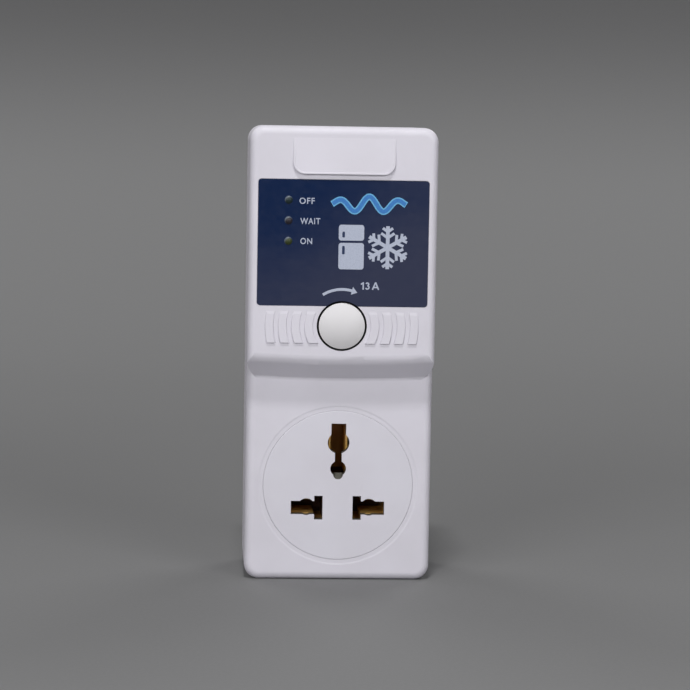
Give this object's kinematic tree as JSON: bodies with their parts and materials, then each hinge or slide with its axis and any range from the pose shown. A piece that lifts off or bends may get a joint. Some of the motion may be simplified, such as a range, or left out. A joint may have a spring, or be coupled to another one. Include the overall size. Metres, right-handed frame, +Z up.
{
  "type": "appliance voltage protector",
  "caption": "Plug-through voltage protector with a fused plug behind, a universal outlet in front, indicator lamps and a push button.",
  "frame": {"origin": "centre of the bounding box at the level of the flat base, halfway between the button's dome in front and the earth pin's tip behind", "axes": "+Z up along the body, +X across it to the right as seen from the outlet side, +Y from the outlet side towards the wall, along the plug pins"},
  "size_m": [0.058, 0.0692, 0.1415],
  "materials": {
    "white_shell": "satin moulded ABS",
    "white_rear": "satin moulded ABS",
    "label_film": "printed polyester film",
    "steel_screws": "zinc-plated",
    "insert_plastic": "satin moulded",
    "dark_plastic": "moulded heat-resistant plastic",
    "contact_brass": "stamped",
    "pin_brass": "machined",
    "sleeve_plastic": "moulded",
    "fuse_ceramic": "glazed",
    "fuse_metal": "nickel-plated",
    "button_white": "smooth",
    "spring_steel": "drawn wire",
    "black_plastic": "moulded",
    "plunger_plastic": "moulded",
    "red_lens": "diffused epoxy",
    "yellow_lens": "diffused epoxy",
    "green_lens": "diffused epoxy",
    "board_green": "solder mask",
    "relay_blue": "moulded",
    "capacitor_yellow": "moulded",
    "capacitor_black": "shrink sleeve",
    "varistor_blue": "epoxy dipped",
    "resistor_tan": "lacquered",
    "brown_wire": "PVC insulation",
    "blue_wire": "PVC insulation",
    "green_wire": "PVC insulation"
  },
  "bodies": {
    "casing": {"front_cover": "white_shell", "rear_cover": "white_rear", "fascia_label": "label_film", "case_screws": "steel_screws", "socket_insert": "insert_plastic", "contact_carrier": "dark_plastic", "live_contact": "contact_brass", "neutral_contact": "contact_brass", "earth_contact": "contact_brass", "carrier_screws": "steel_screws", "live_pin": "pin_brass", "neutral_pin": "pin_brass", "earth_pin": "pin_brass", "live_pin_sleeve": "sleeve_plastic", "neutral_pin_sleeve": "sleeve_plastic", "pin_bridge": "dark_plastic", "bridge_screws": "steel_screws", "line_fuse_clip": "contact_brass", "load_fuse_clip": "contact_brass", "pin_link": "contact_brass", "button_spring": "spring_steel", "switch_body": "black_plastic", "off_led": "red_lens", "wait_led": "yellow_lens", "on_led": "green_lens", "led_holder": "black_plastic", "main_pcb": "board_green", "pcb_screws": "steel_screws", "relay": "relay_blue", "dropper_capacitor": "capacitor_yellow", "smoothing_capacitor": "capacitor_black", "varistor": "varistor_blue", "controller_chip": "black_plastic", "rectifier": "black_plastic", "resistors": "resistor_tan", "live_wire": "brown_wire", "load_wire": "brown_wire", "neutral_wire": "blue_wire", "tap_wire": "blue_wire", "earth_wire": "green_wire"},
    "button": {"bypass_button": "button_white", "switch_plunger": "plunger_plastic"},
    "fuse_carrier": {"fuse_drawer": "white_rear", "fuse_tube": "fuse_ceramic", "fuse_caps": "fuse_metal"}
  },
  "joints": [
    {"name": "button_press", "type": "slide", "parent": "casing", "child": "button", "axis": [0, 1, 0], "range_m": [0, 0.0015], "stiffness_N_per_m": 500, "springref_m": -0.002, "deforming": ["button_spring"]},
    {"name": "fuse_drawer_slide", "type": "slide", "parent": "casing", "child": "fuse_carrier", "axis": [0, 1, 0], "range_m": [0, 0.014]}
  ]
}
